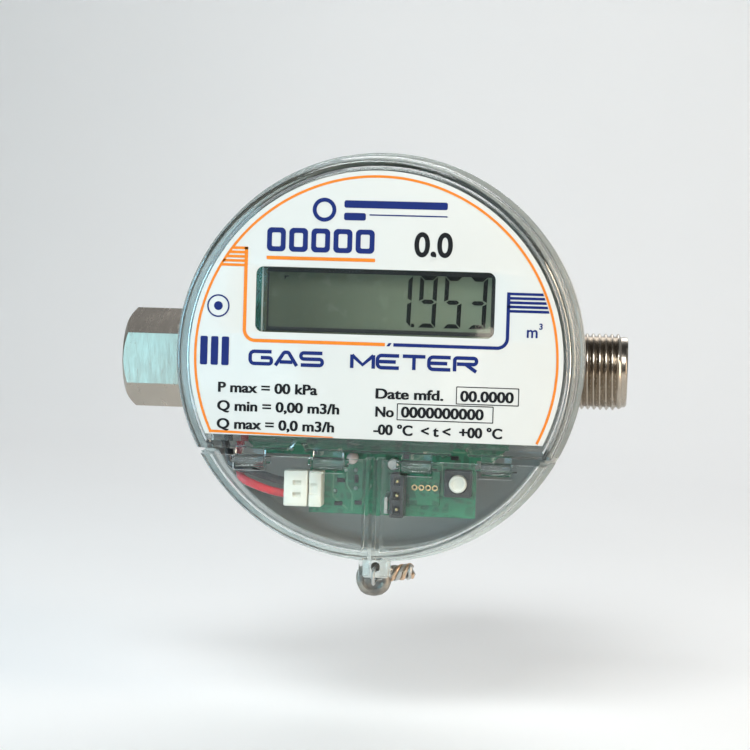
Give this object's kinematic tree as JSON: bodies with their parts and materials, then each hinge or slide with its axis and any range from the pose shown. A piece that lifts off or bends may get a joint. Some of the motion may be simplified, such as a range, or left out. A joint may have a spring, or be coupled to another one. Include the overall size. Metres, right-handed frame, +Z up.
{
  "type": "gas meter",
  "caption": "Small in-line household gas meter: round housing with a clear front, display, hinged battery and terminal covers, wire seal, hex inlet and threaded outlet.",
  "frame": {"origin": "where the pipe axis crosses the upright line through the middle of the round housing", "axes": "+X along the pipe from inlet to outlet, +Z up, the face looks along -Y"},
  "size_m": [0.11, 0.083, 0.0925],
  "materials": {
    "housing_grey": "moulded grey plastic",
    "clear_cover": "clear polycarbonate, lightly scuffed",
    "label_film": "printed satin film",
    "display_glass": "greenish grey display behind glass",
    "board_green": "green solder mask",
    "white_plastic": "natural white moulding",
    "black_plastic": "black moulding",
    "cell_sleeve": "shrink sleeve",
    "lead_black": "smooth insulation",
    "lead_red": "smooth insulation",
    "rubber": "matt rubber",
    "nickel_plate": "warm nickel plate, fine turning marks",
    "cast_metal": "fine cast and turned surface",
    "steel": "zinc-plated steel",
    "brass": "plain brass",
    "seal_metal": "pressed soft grey metal"
  },
  "bodies": {
    "meter": {"base_housing": "housing_grey", "front_cover": "clear_cover", "label": "label_film", "display_glass": "display_glass", "contact_strip_lower": "rubber", "contact_strip_upper": "rubber", "display_holder": "white_plastic", "circuit_board": "board_green", "processor_chip": "black_plastic", "memory_chip": "black_plastic", "timing_crystal": "steel", "terminal_header": "black_plastic", "contact_tongue": "steel", "contact_board": "board_green", "button_base": "black_plastic", "status_lamp": "white_plastic", "smoothing_capacitor": "steel", "battery_cell": "cell_sleeve", "battery_tray": "housing_grey", "battery_socket": "white_plastic", "battery_plug": "white_plastic", "battery_lead_black": "lead_black", "battery_lead_red": "lead_red", "board_screw_1": "steel", "board_screw_2": "steel", "housing_screw_1": "steel", "housing_screw_2": "steel", "housing_screw_3": "steel", "flow_body": "cast_metal", "inlet_fitting": "nickel_plate", "outlet_fitting": "nickel_plate", "inlet_o_ring": "rubber", "outlet_o_ring": "rubber", "inlet_strainer": "brass", "jet_block": "white_plastic", "jet_plate": "steel", "pressure_sensor_left": "brass", "pressure_sensor_right": "brass", "sensor_lead_left": "lead_black", "sensor_lead_right": "lead_black", "rear_gasket": "rubber", "rear_cover": "cast_metal", "rear_screw_1": "steel", "rear_screw_2": "steel", "rear_screw_3": "steel", "rear_screw_4": "steel"},
    "battery_cover": {"battery_cover": "clear_cover"},
    "terminal_cover": {"terminal_cover": "clear_cover"},
    "service_button": {"service_button": "white_plastic"},
    "seal": {"lead_seal": "seal_metal", "seal_wire": "steel", "seal_tail": "brass"}
  },
  "joints": [
    {"name": "battery_cover_hinge", "type": "hinge", "parent": "meter", "child": "battery_cover", "pos_m": [0, -0.0384, -0.0188], "axis": [-1, 0, 0], "range_deg": [0, 95]},
    {"name": "terminal_cover_hinge", "type": "hinge", "parent": "meter", "child": "terminal_cover", "pos_m": [0, -0.0384, -0.0188], "axis": [-1, 0, 0], "range_deg": [0, 95]},
    {"name": "button_press", "type": "slide", "parent": "meter", "child": "service_button", "axis": [0, 1, 0], "range_m": [0, 0.00025], "stiffness_N_per_m": 600},
    {"name": "seal_swing", "type": "hinge", "parent": "meter", "child": "seal", "pos_m": [0, -0.026, -0.0413], "axis": [0, 1, 0], "range_deg": [-12, 15]}
  ]
}
